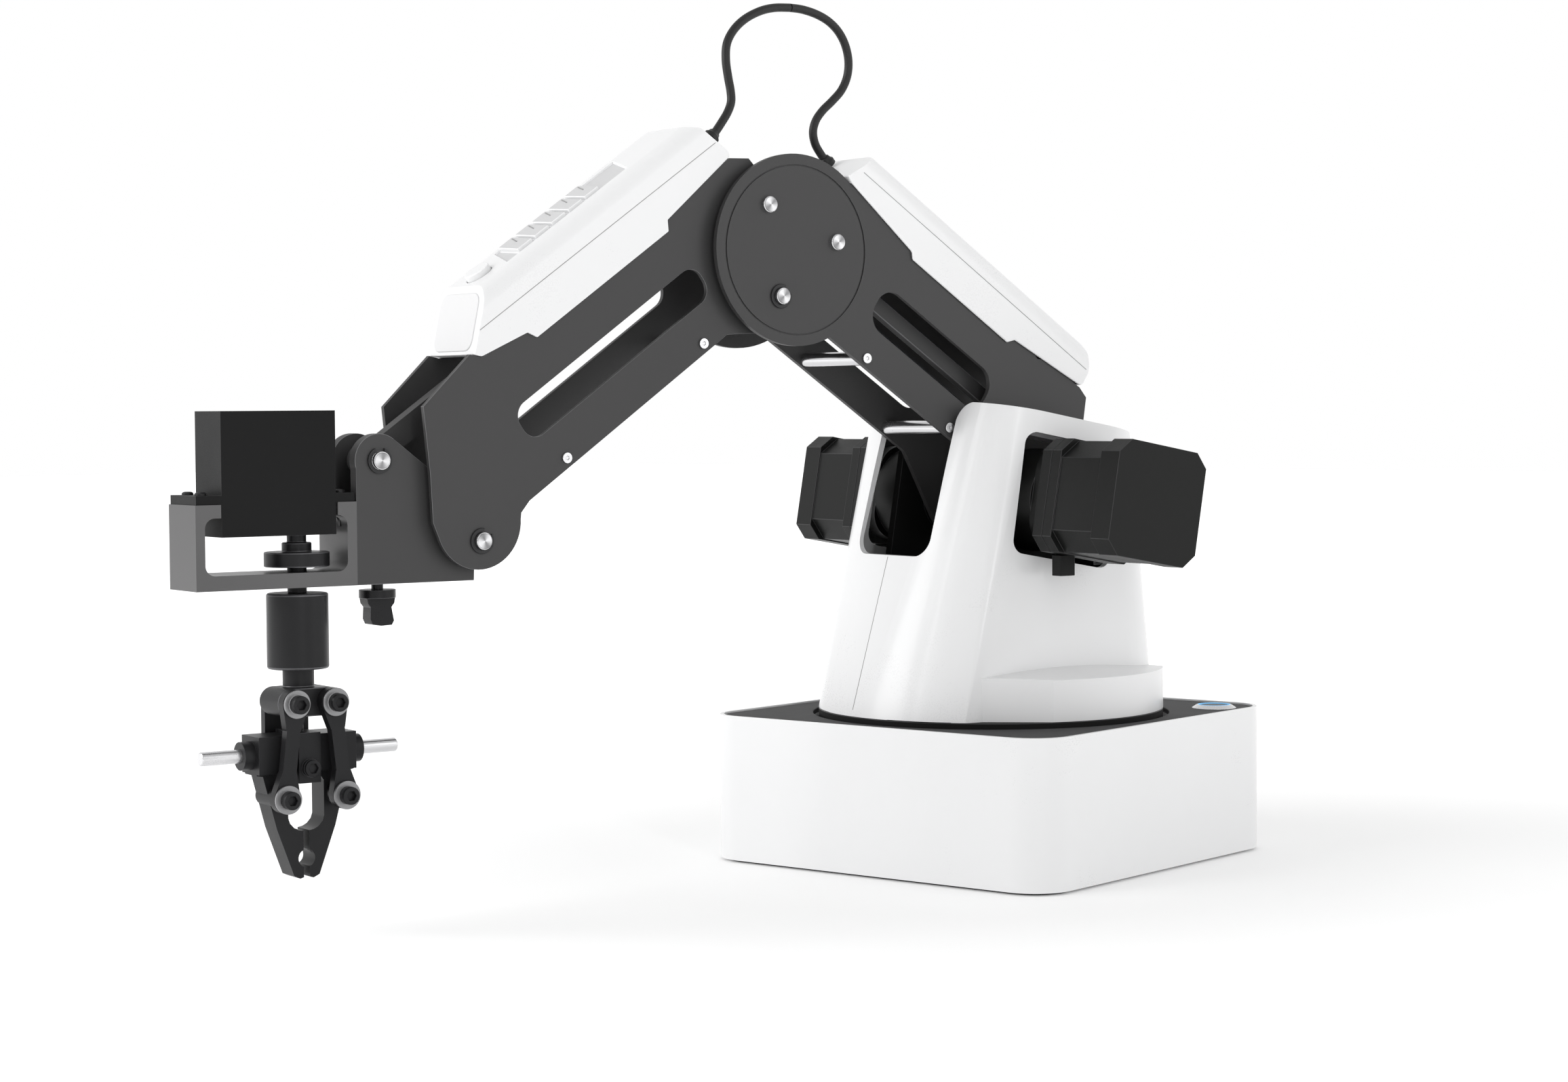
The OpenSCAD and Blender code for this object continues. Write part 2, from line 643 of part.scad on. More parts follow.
module servo_frame() color("#444444") in_wrist() difference() {
    slab(-bracket_half, bracket_half) difference() {
        translate([frame_x0, -13.5]) square([frame_x1 - frame_x0, 27.8]);
        box_outline(47.8, -8.6, 98.4, 10, 3.4);
        translate([51.2, 0]) square([41.5, 20]);
    }
    translate([tool_x, 0, -20]) cylinder(r = 3.25, h = 20);
    for (x = [48, 97.4], y = [-5, 5]) translate([x, y, 6]) cylinder(r = 1, h = 9);
}
module tilt_pin() color("silver") in_wrist()
    clipped_pin(fore_link_at[0], fore_link_at[1], bracket_half + 2.2, bracket_half, 0);
module servo() color("#1e1e1e") in_wrist() {
    translate([51.6, -10, 3.7]) cube([40.7, 20, 40.8]);
    translate([44.8, -10, 14.3]) difference() {
        cube([56.4, 20, 3]);
        for (y = [5, 15]) translate([3.2, y, -1]) cylinder(r = 1.1, h = 5);
        for (y = [5, 15]) translate([52.6, y, -1]) cylinder(r = 1.1, h = 5);
    }
}
module thumb_screw() color("#222222") in_wrist() translate([31.8, 0, 0]) {
    translate([0, 0, -18.6]) cylinder(r = 6.2, h = 2.8);
    translate([0, 0, -15.9]) cylinder(r = 2, h = 8.6);
    slab(-2.8, 2.8) polygon([[-5.4, -18.2], [5.4, -18.2], [5, -20.4], [4, -21.6], [4.2, -25.6], [3.4, -27.4],
        [0, -28], [-4, -27.8], [-4.8, -26.4], [-3.9, -21.8], [-5, -20.4]]);
}

// ---- tool ----
module tool_coupling() color("#222222") in_tool() {
    translate([0, 0, 0.9]) cylinder(r = 3.2, h = 2.7);
    translate([0, 0, -2.2]) cylinder(r = 4.9, h = 3.2);
    translate([0, 0, -7]) cylinder(r = 10.8, h = 4.9);
    translate([0, 0, cyl_top]) cylinder(r = 3.2, h = -cyl_top - 6.9);
}
module air_cylinder() color("#1a1a1a") in_tool() difference() {
    translate([0, 0, cyl_bottom]) cylinder(r = 10.2, h = cyl_top - cyl_bottom);
    translate([0, 0, cyl_bottom - 1]) cylinder(r = 2, h = 12);
}
module crosshead() color("#262626") in_tool() {
    difference() {
        union() {
            translate([0, 0, grip_top]) cylinder(r = 5.2, h = cyl_bottom - grip_top);
            slab(-5.4, 9) bar([-top_pin[0], top_pin[1]], top_pin, 2 * grip_lobe);
        }
        translate([0, 0, -60]) cylinder(r = 1.6, h = 30);
    }
    for (s = [-1, 1]) {
        rod(s * top_pin[0], top_pin[1], 2, 9, 13);
        rod(s * top_pin[0], top_pin[1], grip_lobe, 13, 13.9);
        rod(s * top_pin[0], top_pin[1], 3, 13.9, 17);
    }
}
module gripper_block() color("#202020") in_tool() {
    difference() {
        union() {
            translate([-3.9, -8, -78.2]) cube([7.8, 16, 16.7]);
            translate([-8, -12.2, -78.2]) cube([16, 2.8, 28]);
            translate([-3.9, -9.6, -78.2]) cube([7.8, 2, 16.7]);
        }
        translate([-20, 0, rod_z]) rotate([0, 90, 0]) cylinder(r = 2.3, h = 40);
    }
    translate([0, 0, -61.6]) cylinder(r = 1.4, h = 22);
    rod(0, -73.2, 3, 8, 9.6);
}
module guide_rod() color("silver") in_tool()
    translate([-35.5, 0, rod_z]) rotate([0, 90, 0]) cylinder(r = 2.3, h = 71);
module finger() {
    difference() {
        union() {
            slab(-4.5, 4.5) difference() {
                polygon([[1.1, -109.8], [2.4, -110.2], [4.6, -109.2], [10.6, -93.2], [12, -88], [15.4, -75.4],
                    [17.6, -75], [17.6, -62.2], [4.4, -62.2], [4.4, -75], [6.5, -78], [6.5, -89.8],
                    [5.9, -91.6], [4.4, -93.2], [2.8, -94], [1.1, -94.3]]);
                translate([0, -103.5]) circle(r = 3);
            }
            translate([4.4, -6.6, rod_z - 6]) cube([13.2, 13.2, 12.4]);
            translate([17.4, 0, rod_z]) rotate([0, 90, 0]) cylinder(r = 4.7, h = 4.1);
            rod(low_pin[0], low_pin[1], 3.4, -4.5, 9);
        }
        translate([-20, 0, rod_z]) rotate([0, 90, 0]) cylinder(r = 2.3 + run, h = 60);
    }
    rod(low_pin[0], low_pin[1], 2, 9, 13);
    rod(low_pin[0], low_pin[1], grip_lobe, 13, 13.9);
    rod(low_pin[0], low_pin[1], 3, 13.9, 17);
}
module finger_front() color("#2b2b2b") in_tool() finger();
module finger_rear() color("#2b2b2b") in_tool() mirror([1, 0, 0]) finger();
module grip_link_bar() {
    slab(grip_link_y, grip_link_y + 3.4) difference() {
        union() {
            bar(top_pin, low_pin, 4.8);
            for (end = [[top_pin, low_pin], [low_pin, top_pin]]) hull() {
                translate(end[0]) circle(r = grip_lobe);
                translate(end[0] + (end[1] - end[0]) * 0.24) circle(r = 2.8);
            }
        }
        translate(top_pin) circle(r = 2 + run);
        translate(low_pin) circle(r = 3);
    }
}
module link_front() color("#262626") in_tool() grip_link_bar();
module link_rear() color("#262626") in_tool() mirror([1, 0, 0]) grip_link_bar();

// ---- cable ----
function unit(v) = v / norm(v);
function tangent(route, i) = unit(route[min(i + 1, len(route) - 1)] - route[max(i - 1, 0)]);
function ring(route, i, sides) =
    let (t = tangent(route, i), u = unit(cross(t, [0, 1, 0])), w = cross(t, u))
    [for (k = [0:sides - 1]) route[i] + cable_r * (cos(360 * k / sides) * u + sin(360 * k / sides) * w)];
module tube(route) {
    sides = 8;
    n = len(route);
    points = [for (i = [0:n - 1]) each ring(route, i, sides)];
    faces = [
        [for (k = [0:sides - 1]) k],
        [for (k = [0:sides - 1]) n * sides - 1 - k],
        for (i = [0:n - 2], k = [0:sides - 1])
            let (a = i * sides + k, b = i * sides + (k + 1) % sides)
            [a, a + sides, b + sides, b]
    ];
    polyhedron(points, faces);
}
module cable_fore() color("#111111") in_turret() tube(cable_fore_route);
module cable_rear() color("#111111") in_turret() tube(cable_rear_route);

base_shell();
base_bottom();
base_screws();
top_plate();
button_ring();
power_button();
rear_sockets();
control_board();
yaw_motor();
bearing_ring();
turntable();
tower_shell();
inner_frame();
shoulder_motor();
forearm_motor();
shoulder_gearbox();
forearm_gearbox();
rear_plate_near();
rear_plate_far();
rear_spacers();
rear_screws();
rear_cover();
elbow_disc_pins();
elbow_pin();
shoulder_hub();
rear_level_link();
elbow_triangle();
forearm_level_link();
crank();
crank_bush();
drive_rod();
forearm_plate_near();
forearm_plate_far();
forearm_spacers();
forearm_screws();
forearm_cover();
unlock_button();
elbow_bushes();
wrist_pin();
bracket_plates();
bracket_block();
servo_frame();
tilt_pin();
servo();
thumb_screw();
tool_coupling();
air_cylinder();
crosshead();
gripper_block();
guide_rod();
finger_front();
finger_rear();
link_front();
link_rear();
cable_fore();
cable_rear();
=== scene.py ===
"""Visual model of a desktop robot arm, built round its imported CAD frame, in metres in the row frame."""

import math

import bmesh
import bpy
from mathutils import Matrix, Vector
from mathutils.bvhtree import BVHTree


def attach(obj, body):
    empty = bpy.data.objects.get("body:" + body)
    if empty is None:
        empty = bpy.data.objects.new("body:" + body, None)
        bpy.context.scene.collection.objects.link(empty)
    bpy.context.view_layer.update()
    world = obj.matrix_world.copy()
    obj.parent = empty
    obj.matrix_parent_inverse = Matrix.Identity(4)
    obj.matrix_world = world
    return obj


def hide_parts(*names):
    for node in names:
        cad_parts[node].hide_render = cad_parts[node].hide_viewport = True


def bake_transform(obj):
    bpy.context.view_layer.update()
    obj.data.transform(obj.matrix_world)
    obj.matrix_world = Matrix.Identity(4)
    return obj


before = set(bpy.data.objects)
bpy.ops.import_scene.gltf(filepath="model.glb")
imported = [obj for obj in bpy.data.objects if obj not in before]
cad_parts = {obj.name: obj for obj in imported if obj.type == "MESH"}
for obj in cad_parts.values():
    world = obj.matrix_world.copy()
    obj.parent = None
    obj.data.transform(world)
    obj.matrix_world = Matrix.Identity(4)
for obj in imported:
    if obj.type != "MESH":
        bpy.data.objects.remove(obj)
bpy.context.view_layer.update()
scene = bpy.context.scene

# ---------------------------------------------------------------- design values, in mm
YAW = math.radians(-16)
SHOULDER = (0.0, 138.0)
REAR = math.radians(34)
FORE = math.radians(-35)
REAR_LEN, FORE_LEN = 135.0, 147.0
ELBOW = (REAR_LEN * math.cos(REAR), SHOULDER[1] + REAR_LEN * math.sin(REAR))
WRIST = (ELBOW[0] + FORE_LEN * math.cos(FORE), ELBOW[1] + FORE_LEN * math.sin(FORE))
TOOL_X = 61.3


def to_row(x, y, z):
    """A point in the turret's frame, in mm, as a point in the row frame, in metres."""
    c, s = math.cos(YAW), math.sin(YAW)
    return Vector(((x * c - y * s) / 1000, (x * s + y * c) / 1000, z / 1000))


def frame_at(origin, angle):
    """Matrix from a link's own frame, in mm, to the row frame, in metres."""
    turn = Matrix.Rotation(YAW, 4, "Z")
    place = Matrix.Translation((origin[0], 0, origin[1]))
    tilt = Matrix.Rotation(-angle, 4, "Y")
    return Matrix.Scale(0.001, 4) @ turn @ place @ tilt


TURRET = Matrix.Scale(0.001, 4) @ Matrix.Rotation(YAW, 4, "Z")
BASE = Matrix.Scale(0.001, 4)
REAR_FRAME = frame_at(SHOULDER, REAR)
FORE_FRAME = frame_at(ELBOW, FORE)
WRIST_FRAME = frame_at(WRIST, 0)
TOOL_FRAME = frame_at((WRIST[0] + TOOL_X, WRIST[1]), 0)


# ---------------------------------------------------------------- camera, fitted to the photograph
CAMERA_AT = (0.947444, 0.666837, 0.173681)
CAMERA_ANGLES = (39.0775, 2.5616, -0.3855)  # azimuth, downward pitch and roll, in degrees
CAMERA_LENS, CAMERA_SENSOR = 68.66, 36


def make_camera():
    az, pitch, roll = (math.radians(angle) for angle in CAMERA_ANGLES)
    forward = Vector(
        (-math.cos(az) * math.cos(pitch), -math.sin(az) * math.cos(pitch), -math.sin(pitch))
    )
    right = forward.cross(Vector((0, 0, 1))).normalized()
    up = right.cross(forward)
    right_r = right * math.cos(roll) + up * math.sin(roll)
    up_r = -right * math.sin(roll) + up * math.cos(roll)
    turn = Matrix((right_r, up_r, -forward)).transposed().to_4x4()
    data = bpy.data.cameras.new("camera")
    data.sensor_width = CAMERA_SENSOR
    data.lens = CAMERA_LENS
    data.clip_start = 0.01
    camera = bpy.data.objects.new("camera", data)
    camera.matrix_world = Matrix.Translation(CAMERA_AT) @ turn
    scene.collection.objects.link(camera)
    scene.camera = camera


make_camera()


# ---------------------------------------------------------------- materials
NOISE_ROUGHNESS = 0.55
BROAD_SCALE = 22  # of the noise that a surface's tone and gloss vary by
GRAIN_DEPTH = 0.00002
COAT_ROUGHNESS = 0.12


def shader(name):
    mat = bpy.data.materials.new(name)
    mat.use_nodes = True
    tree = mat.node_tree
    return mat, tree, tree.nodes["Principled BSDF"]


def noise(tree, scale, detail=3.0):
    coords = tree.nodes.new("ShaderNodeTexCoord")
    tex = tree.nodes.new("ShaderNodeTexNoise")
    tex.inputs["Scale"].default_value = scale
    tex.inputs["Detail"].default_value = detail
    tex.inputs["Roughness"].default_value = NOISE_ROUGHNESS
    tree.links.new(coords.outputs["Object"], tex.inputs["Vector"])
    return tex.outputs["Fac"]


def spread(tree, value, low, high, start=0.3, end=0.7):
    """Maps a value that runs from start to end onto low to high."""
    node = tree.nodes.new("ShaderNodeMapRange")
    node.inputs["From Min"].default_value = start
    node.inputs["From Max"].default_value = end
    node.inputs["To Min"].default_value = low
    node.inputs["To Max"].default_value = high
    tree.links.new(value, node.inputs["Value"])
    return node.outputs["Result"]


def blend_colour(tree, factor, first, second):
    node = tree.nodes.new("ShaderNodeMix")
    node.data_type = "RGBA"
    tree.links.new(factor, node.inputs["Factor"])
    for socket, colour in ((node.inputs["A"], first), (node.inputs["B"], second)):
        if isinstance(colour, tuple):
            socket.default_value = (*colour, 1)
        else:
            tree.links.new(colour, socket)
    return node.outputs["Result"]


def finish(
    name,
    colour,
    rough,
    metallic=0.0,
    grain=2500,
    bump=0.1,
    vary=0.06,
    rough_vary=0.06,
    coat=0.0,
    specular=0.5,
):
    """A moulded, painted or machined surface: tone and gloss that vary broadly, and a fine grain."""
    mat, tree, bsdf = shader(name)
    broad = noise(tree, BROAD_SCALE, 4.0)
    fine = noise(tree, grain, 2.0)
    dark = tuple(c * (1 - vary) for c in colour)
    pale = tuple(min(1.0, c * (1 + vary)) for c in colour)
    tone = blend_colour(tree, spread(tree, broad, 0, 1), dark, pale)
    tree.links.new(tone, bsdf.inputs["Base Color"])
    mixed = tree.nodes.new("ShaderNodeMath")
    mixed.operation = "ADD"
    tree.links.new(spread(tree, broad, rough - rough_vary, rough + rough_vary), mixed.inputs[0])
    tree.links.new(spread(tree, fine, -rough_vary / 2, rough_vary / 2), mixed.inputs[1])
    tree.links.new(mixed.outputs[0], bsdf.inputs["Roughness"])
    bumped = tree.nodes.new("ShaderNodeBump")
    bumped.inputs["Strength"].default_value = bump
    bumped.inputs["Distance"].default_value = GRAIN_DEPTH
    tree.links.new(fine, bumped.inputs["Height"])
    tree.links.new(bumped.outputs["Normal"], bsdf.inputs["Normal"])
    bsdf.inputs["Metallic"].default_value = metallic
    bsdf.inputs["Specular IOR Level"].default_value = specular
    bsdf.inputs["Coat Weight"].default_value = coat
    bsdf.inputs["Coat Roughness"].default_value = COAT_ROUGHNESS
    return mat


WHITE = finish(
    "white_gloss_plastic", (0.77, 0.772, 0.776), 0.3, grain=1800, bump=0.06, vary=0.008,
    rough_vary=0.03, coat=0.2,
)
# a greyer copy of the white plastic: painted shade on the forearm cover's upward faces
WHITE_PAINTED_SHADE = finish(
    "white_painted_shade", (0.56, 0.56, 0.565), 0.4, grain=1800, bump=0.06, vary=0.01,
    rough_vary=0.03,
)
# a greyer copy of the white plastic: painted shade on the nose panel's face
NOSE_PAINTED_SHADE = finish(
    "white_nose_painted_shade", (0.68, 0.68, 0.685), 0.35, grain=1800, bump=0.06, vary=0.01,
    rough_vary=0.03,
)
# a paler white on the rounded edges of white pieces: a painted highlight
WHITE_EDGE_HIGHLIGHT = finish(
    "white_edge_painted_highlight", (0.85, 0.852, 0.856), 0.25, grain=1800, bump=0.05, vary=0.008, rough_vary=0.03,
    coat=0.3,
)
RIM_DARK = finish(
    "anthracite_grained_top", (0.034, 0.034, 0.035), 0.66, grain=3200, bump=0.5, vary=0.12,
    specular=0.3,
)
PLATE = finish(
    "anthracite_plate", (0.046, 0.0455, 0.046), 0.5, metallic=0.2, grain=4200, bump=0.4, vary=0.08,
    rough_vary=0.06, specular=0.38,
)
# a lighter grey on the plates' rounded edges: a painted highlight
PLATE_EDGE_HIGHLIGHT = finish(
    "anthracite_plate_edge_painted_highlight", (0.2, 0.2, 0.205), 0.42, metallic=0.55, grain=3000, bump=0.2,
    vary=0.12,
)
INSIDE = finish(
    "black_inside", (0.006, 0.006, 0.006), 0.6, grain=3000, bump=0.3, vary=0.2, specular=0.15,
)
BLACK = finish(
    "black_satin_motor", (0.0075, 0.0077, 0.0075), 0.42, grain=3000, bump=0.3, vary=0.2,
    rough_vary=0.08, specular=0.16,
)
# a lighter black on the rounded edges of black pieces: a painted highlight
BLACK_EDGE_HIGHLIGHT = finish(
    "black_motor_edge_painted_highlight", (0.03, 0.03, 0.031), 0.4, grain=2600, bump=0.2, vary=0.2, specular=0.3,
)
SERVO = finish(
    "servo_black", (0.006, 0.006, 0.0062), 0.42, grain=2600, bump=0.3, vary=0.2, rough_vary=0.07,
    specular=0.14,
)
FRAME = finish(
    "satin_frame", (0.11, 0.109, 0.11), 0.38, metallic=0.6, grain=4200, bump=0.3, vary=0.06,
    rough_vary=0.05, specular=0.3,
)
GRIP = finish(
    "black_anodised", (0.014, 0.014, 0.015), 0.36, metallic=0.3, grain=3600, bump=0.3, vary=0.2,
    rough_vary=0.07, specular=0.25,
)
# a lighter grey on the gripper parts' rounded edges: a painted highlight
GRIP_EDGE_HIGHLIGHT = finish(
    "anodised_edge_painted_highlight", (0.1, 0.1, 0.105), 0.38, metallic=0.6, grain=3000, bump=0.2, vary=0.2,
)
WASHER = finish(
    "washer_grey", (0.26, 0.26, 0.265), 0.36, metallic=0.7, grain=2200, bump=0.2, vary=0.1,
)
STEEL = finish(
    "turned_steel", (0.66, 0.66, 0.67), 0.24, metallic=1.0, grain=1500, bump=0.25, vary=0.06,
    rough_vary=0.08,
)
STEEL_DARK = finish(
    "blackened_steel", (0.03, 0.03, 0.031), 0.42, metallic=0.6, grain=1500, bump=0.2, vary=0.1,
)
BRONZE = finish(
    "sintered_bronze", (0.42, 0.27, 0.1), 0.42, metallic=1.0, grain=5000, bump=0.5, vary=0.12,
)
BOARD = finish("solder_mask", (0.012, 0.07, 0.035), 0.4, grain=1200, bump=0.2, vary=0.15, coat=0.3)
RUBBER = finish(
    "black_lead", (0.011, 0.011, 0.011), 0.45, grain=2800, bump=0.35, vary=0.2, rough_vary=0.08,
    specular=0.35,
)
FEET = finish("black_underside", (0.02, 0.02, 0.02), 0.7, grain=1500, bump=0.5, vary=0.2)
SEAM = finish("seam_shadow", (0.3, 0.3, 0.3), 0.7, grain=1500, bump=0.2, vary=0.1, specular=0.2)
GOLD = finish("contact_gold", (0.75, 0.52, 0.2), 0.3, metallic=1.0, grain=1500, bump=0.1, vary=0.05)


def turned_highlight_material():
    """A faced pin end: fine rings, and wedges of painted highlight and painted shade that spread out from
    the middle.
    """
    mat, tree, bsdf = shader("faced_pin_end_painted_highlight")
    coords = tree.nodes.new("ShaderNodeTexCoord")
    angle = tree.nodes.new("ShaderNodeTexGradient")
    angle.gradient_type = "RADIAL"
    tree.links.new(coords.outputs["UV"], angle.inputs["Vector"])
    # the colour runs lighter and darker by angle round the centre: painted highlights and shade of a turned
    # face
    wedge = tree.nodes.new("ShaderNodeMath")
    wedge.operation = "MULTIPLY_ADD"
    wedge.inputs[1].default_value = 4 * math.pi
    wedge.inputs[2].default_value = 1.1
    tree.links.new(angle.outputs["Fac"], wedge.inputs[0])
    highlight_fan = tree.nodes.new("ShaderNodeMath")
    highlight_fan.operation = "SINE"
    tree.links.new(wedge.outputs[0], highlight_fan.inputs[0])
    light = spread(tree, highlight_fan.outputs[0], 0, 1, -1, 1)
    tone = blend_colour(tree, light, (0.24, 0.24, 0.245), (0.72, 0.72, 0.73))
    tree.links.new(tone, bsdf.inputs["Base Color"])
    rings = tree.nodes.new("ShaderNodeTexWave")
    rings.wave_type = "RINGS"
    rings.rings_direction = "SPHERICAL"
    rings.inputs["Scale"].default_value = 5.0
    rings.inputs["Distortion"].default_value = 0.6
    tree.links.new(coords.outputs["UV"], rings.inputs["Vector"])
    bumped = tree.nodes.new("ShaderNodeBump")
    bumped.inputs["Strength"].default_value = 0.3
    bumped.inputs["Distance"].default_value = GRAIN_DEPTH
    tree.links.new(rings.outputs["Fac"], bumped.inputs["Height"])
    tree.links.new(bumped.outputs["Normal"], bsdf.inputs["Normal"])
    tree.links.new(spread(tree, noise(tree, 1500), 0.26, 0.4), bsdf.inputs["Roughness"])
    bsdf.inputs["Metallic"].default_value = 1.0
    return mat


def glow_material():
    """The lit ring round the power button."""
    mat, tree, bsdf = shader("button_light")
    bsdf.inputs["Roughness"].default_value = 0.3
    tone = blend_colour(tree, spread(tree, noise(tree, 600), 0, 1), (0.16, 0.42, 0.72), (0.2, 0.5, 0.8))
    tree.links.new(tone, bsdf.inputs["Base Color"])
    tree.links.new(tone, bsdf.inputs["Emission Color"])
    bsdf.inputs["Emission Strength"].default_value = 0.55
    return mat


GLOW = glow_material()
FACED_RINGS_AND_HIGHLIGHT = turned_highlight_material()


# ---------------------------------------------------------------- mesh helpers
def add_object(name, mesh, materials):
    obj = bpy.data.objects.new(name, mesh)
    scene.collection.objects.link(obj)
    for mat in materials:
        obj.data.materials.append(mat)
    return obj


def solid(name, bm, materials, angle=None):
    """An object from a bmesh, its edges smooth below an angle in degrees."""
    mesh = bpy.data.meshes.new(name)
    bm.to_mesh(mesh)
    bm.free()
    obj = add_object(name, mesh, materials)
    if angle:
        smooth_by_angle(obj.data, math.radians(angle))
    return obj


def apply_modifiers(obj):
    graph = bpy.context.evaluated_depsgraph_get()
    mesh = bpy.data.meshes.new_from_object(obj.evaluated_get(graph))
    old = obj.data
    obj.modifiers.clear()
    obj.data = mesh
    bpy.data.meshes.remove(old)


def smooth_by_angle(mesh, angle):
    bm = bmesh.new()
    bm.from_mesh(mesh)
    for face in bm.faces:
        face.smooth = True
    for edge in bm.edges:
        edge.smooth = len(edge.link_faces) == 2 and edge.calc_face_angle(0) < angle
    bm.to_mesh(mesh)
    bm.free()


def bevel(obj, width, segments, angle, edge_slot=-1):
    """Rounds the edges sharper than an angle, in the material of a slot if one is named; that material
    paints the rounded edges lighter, as a highlight.
    """
    mod = obj.modifiers.new("bevel", "BEVEL")
    mod.width = width / 1000
    mod.segments = segments
    mod.limit_method = "ANGLE"
    mod.angle_limit = math.radians(angle)
    mod.material = edge_slot
    mod.use_clamp_overlap = True
    mod.harden_normals = True
    flat = obj.modifiers.new("flat", "WEIGHTED_NORMAL")
    flat.keep_sharp = True
    flat.weight = 100
    bpy.context.view_layer.update()
    apply_modifiers(obj)


def skin(node, body, materials, width, segments, angle=30):
    """A bevelled copy of a CAD node, which it replaces: its edges catch the light, and a second material,
    if given, paints them lighter as a highlight.
    """
    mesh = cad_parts[node].data.copy()
    mesh.transform(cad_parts[node].matrix_world)
    mesh.materials.clear()
    bm = bmesh.new()
    bm.from_mesh(mesh)
    bmesh.ops.remove_doubles(bm, verts=bm.verts, dist=1e-6)
    bmesh.ops.dissolve_limit(
        bm, angle_limit=math.radians(0.6), verts=bm.verts, edges=bm.edges, use_dissolve_boundaries=False
    )
    for face in bm.faces:
        face.material_index = 0
    bm.to_mesh(mesh)
    bm.free()
    obj = add_object(node + "_skin", mesh, materials)
    smooth_by_angle(obj.data, math.radians(angle))
    bevel(obj, width, segments, angle, 1 if len(materials) > 1 else -1)
    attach(obj, body)
    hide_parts(node)
    return obj


def ring_surface(rings, capped=True):
    """A mesh through rings of points, each ring a list of vectors of the same count."""
    bm = bmesh.new()
    rows = [[bm.verts.new(p) for p in ring] for ring in rings]
    count = len(rows[0])
    for first, second in zip(rows, rows[1:]):
        for i in range(count):
            j = (i + 1) % count
            bm.faces.new((first[i], first[j], second[j], second[i]))
    if capped:
        bm.faces.new(list(reversed(rows[0])))
        bm.faces.new(rows[-1])
    bmesh.ops.recalc_face_normals(bm, faces=bm.faces)
    return bm


def lathe(name, profile, place, axis, body, materials, parts=48):
    """A turned piece: profile is (distance along its axis, radius), in mm, about a point of a frame."""
    matrix, point = place
    turn = Vector((0, 0, 1)).rotation_difference(Vector(axis)).to_matrix().to_4x4()
    whole = matrix @ Matrix.Translation(point) @ turn
    rings = []
    for along, radius in profile:
        ring = []
        for i in range(parts):
            a = 2 * math.pi * i / parts
            ring.append(whole @ Vector((radius * math.cos(a), radius * math.sin(a), along)))
        rings.append(ring)
    obj = solid(name, ring_surface(rings), materials, 40)
    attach(obj, body)
    return obj


def side(matrix):
    """A link's frame turned so that its x and z become x and y, and local z runs to its far side."""
    return matrix @ Matrix.Rotation(math.radians(90), 4, "X")


def prism(name, matrix, outline, low, high, body, materials, width=0.2, segments=2):
    """A bevelled plate: an outline in a frame's x and y, in mm, from one height to another."""
    bm = bmesh.new()
    loops = [[bm.verts.new(matrix @ Vector((x, y, z))) for x, y in outline] for z in (low, high)]
    count = len(outline)
    bm.faces.new(list(reversed(loops[0])))
    bm.faces.new(loops[1])
    for i in range(count):
        j = (i + 1) % count
        bm.faces.new((loops[0][i], loops[0][j], loops[1][j], loops[1][i]))
    bmesh.ops.recalc_face_normals(bm, faces=bm.faces)
    obj = solid(name, bm, materials, 28)
    bevel(obj, width, segments, 28)
    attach(obj, body)
    return obj


def rounded_box(x0, y0, x1, y1, r, steps=5):
    """The outline of a rectangle with round corners."""
    out = []
    right, left, top, bottom = x1 - r, x0 + r, y1 - r, y0 + r
    for cx, cy, start in ((right, top, 0), (left, top, 90), (left, bottom, 180), (right, bottom, 270)):
        for k in range(steps + 1):
            a = math.radians(start + 90 * k / steps)
            out.append((cx + r * math.cos(a), cy + r * math.sin(a)))
    return out


def tube(name, points, radius, body, materials, sides=8):
    """A fine bead along points in the row frame: a seam line between two mouldings."""
    rings = []
    for i, p in enumerate(points):
        t = (points[min(i + 1, len(points) - 1)] - points[max(i - 1, 0)]).normalized()
        u = t.orthogonal().normalized() if i == 0 else (u - t * u.dot(t)).normalized()
        w = t.cross(u)
        angles = [2 * math.pi * k / sides for k in range(sides)]
        rings.append([p + (u * math.cos(a) + w * math.sin(a)) * radius / 1000 for a in angles])
    obj = solid(name, ring_surface(rings), materials, 60)
    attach(obj, body)
    return obj


def paint(obj, matrix, test, index, needs=any):
    """Gives faces another material if a test picks their corners, in mm in a link's own frame."""
    back = matrix.inverted()
    picked = [test(*(back @ vertex.co)) for vertex in obj.data.vertices]
    for face in obj.data.polygons:
        if needs(picked[v] for v in face.vertices):
            face.material_index = index


def socket_head(name, matrix, x, z, low, high, radius, hexagon, body, materials):
    """A cap screw's head with a hexagon socket, lying along a link's y axis."""
    turned = side(matrix) @ Matrix.Translation((x, z, 0))
    count = 24

    def loop(r, y, six=False):
        ring = []
        for k in range(count):
            a = math.radians(360 * k / count)
            length = r / math.cos(math.radians((360 * k / count) % 60 - 30)) if six else r
            ring.append(turned @ Vector((length * math.cos(a), length * math.sin(a), -y)))
        return ring

    rings = [
        loop(radius, low),
        loop(radius, high - 0.35),
        loop(radius - 0.12, high - 0.1),
        loop(radius - 0.4, high),
        loop(hexagon + 0.12, high, True),
        loop(hexagon, high - 0.15, True),
        loop(hexagon, low + 0.1, True),
    ]
    obj = solid(name, ring_surface(rings), materials, 32)
    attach(obj, body)
    return obj


# ---------------------------------------------------------------- cable
def smooth_route(points, steps=6):
    """A smooth curve that passes through every point."""
    pts = [Vector(p) for p in points]
    out = []
    for i in range(len(pts) - 1):
        p0, p1 = pts[max(i - 1, 0)], pts[i]
        p2, p3 = pts[i + 1], pts[min(i + 2, len(pts) - 1)]
        for k in range(steps):
            t = k / steps
            out.append(
                0.5
                * (
                    2 * p1
                    + (p2 - p0) * t
                    + (2 * p0 - 5 * p1 + 4 * p2 - p3) * t * t
                    + (3 * p1 - 3 * p2 + p3 - p0) * t**3
                )
            )
    out.append(pts[-1])
    return out


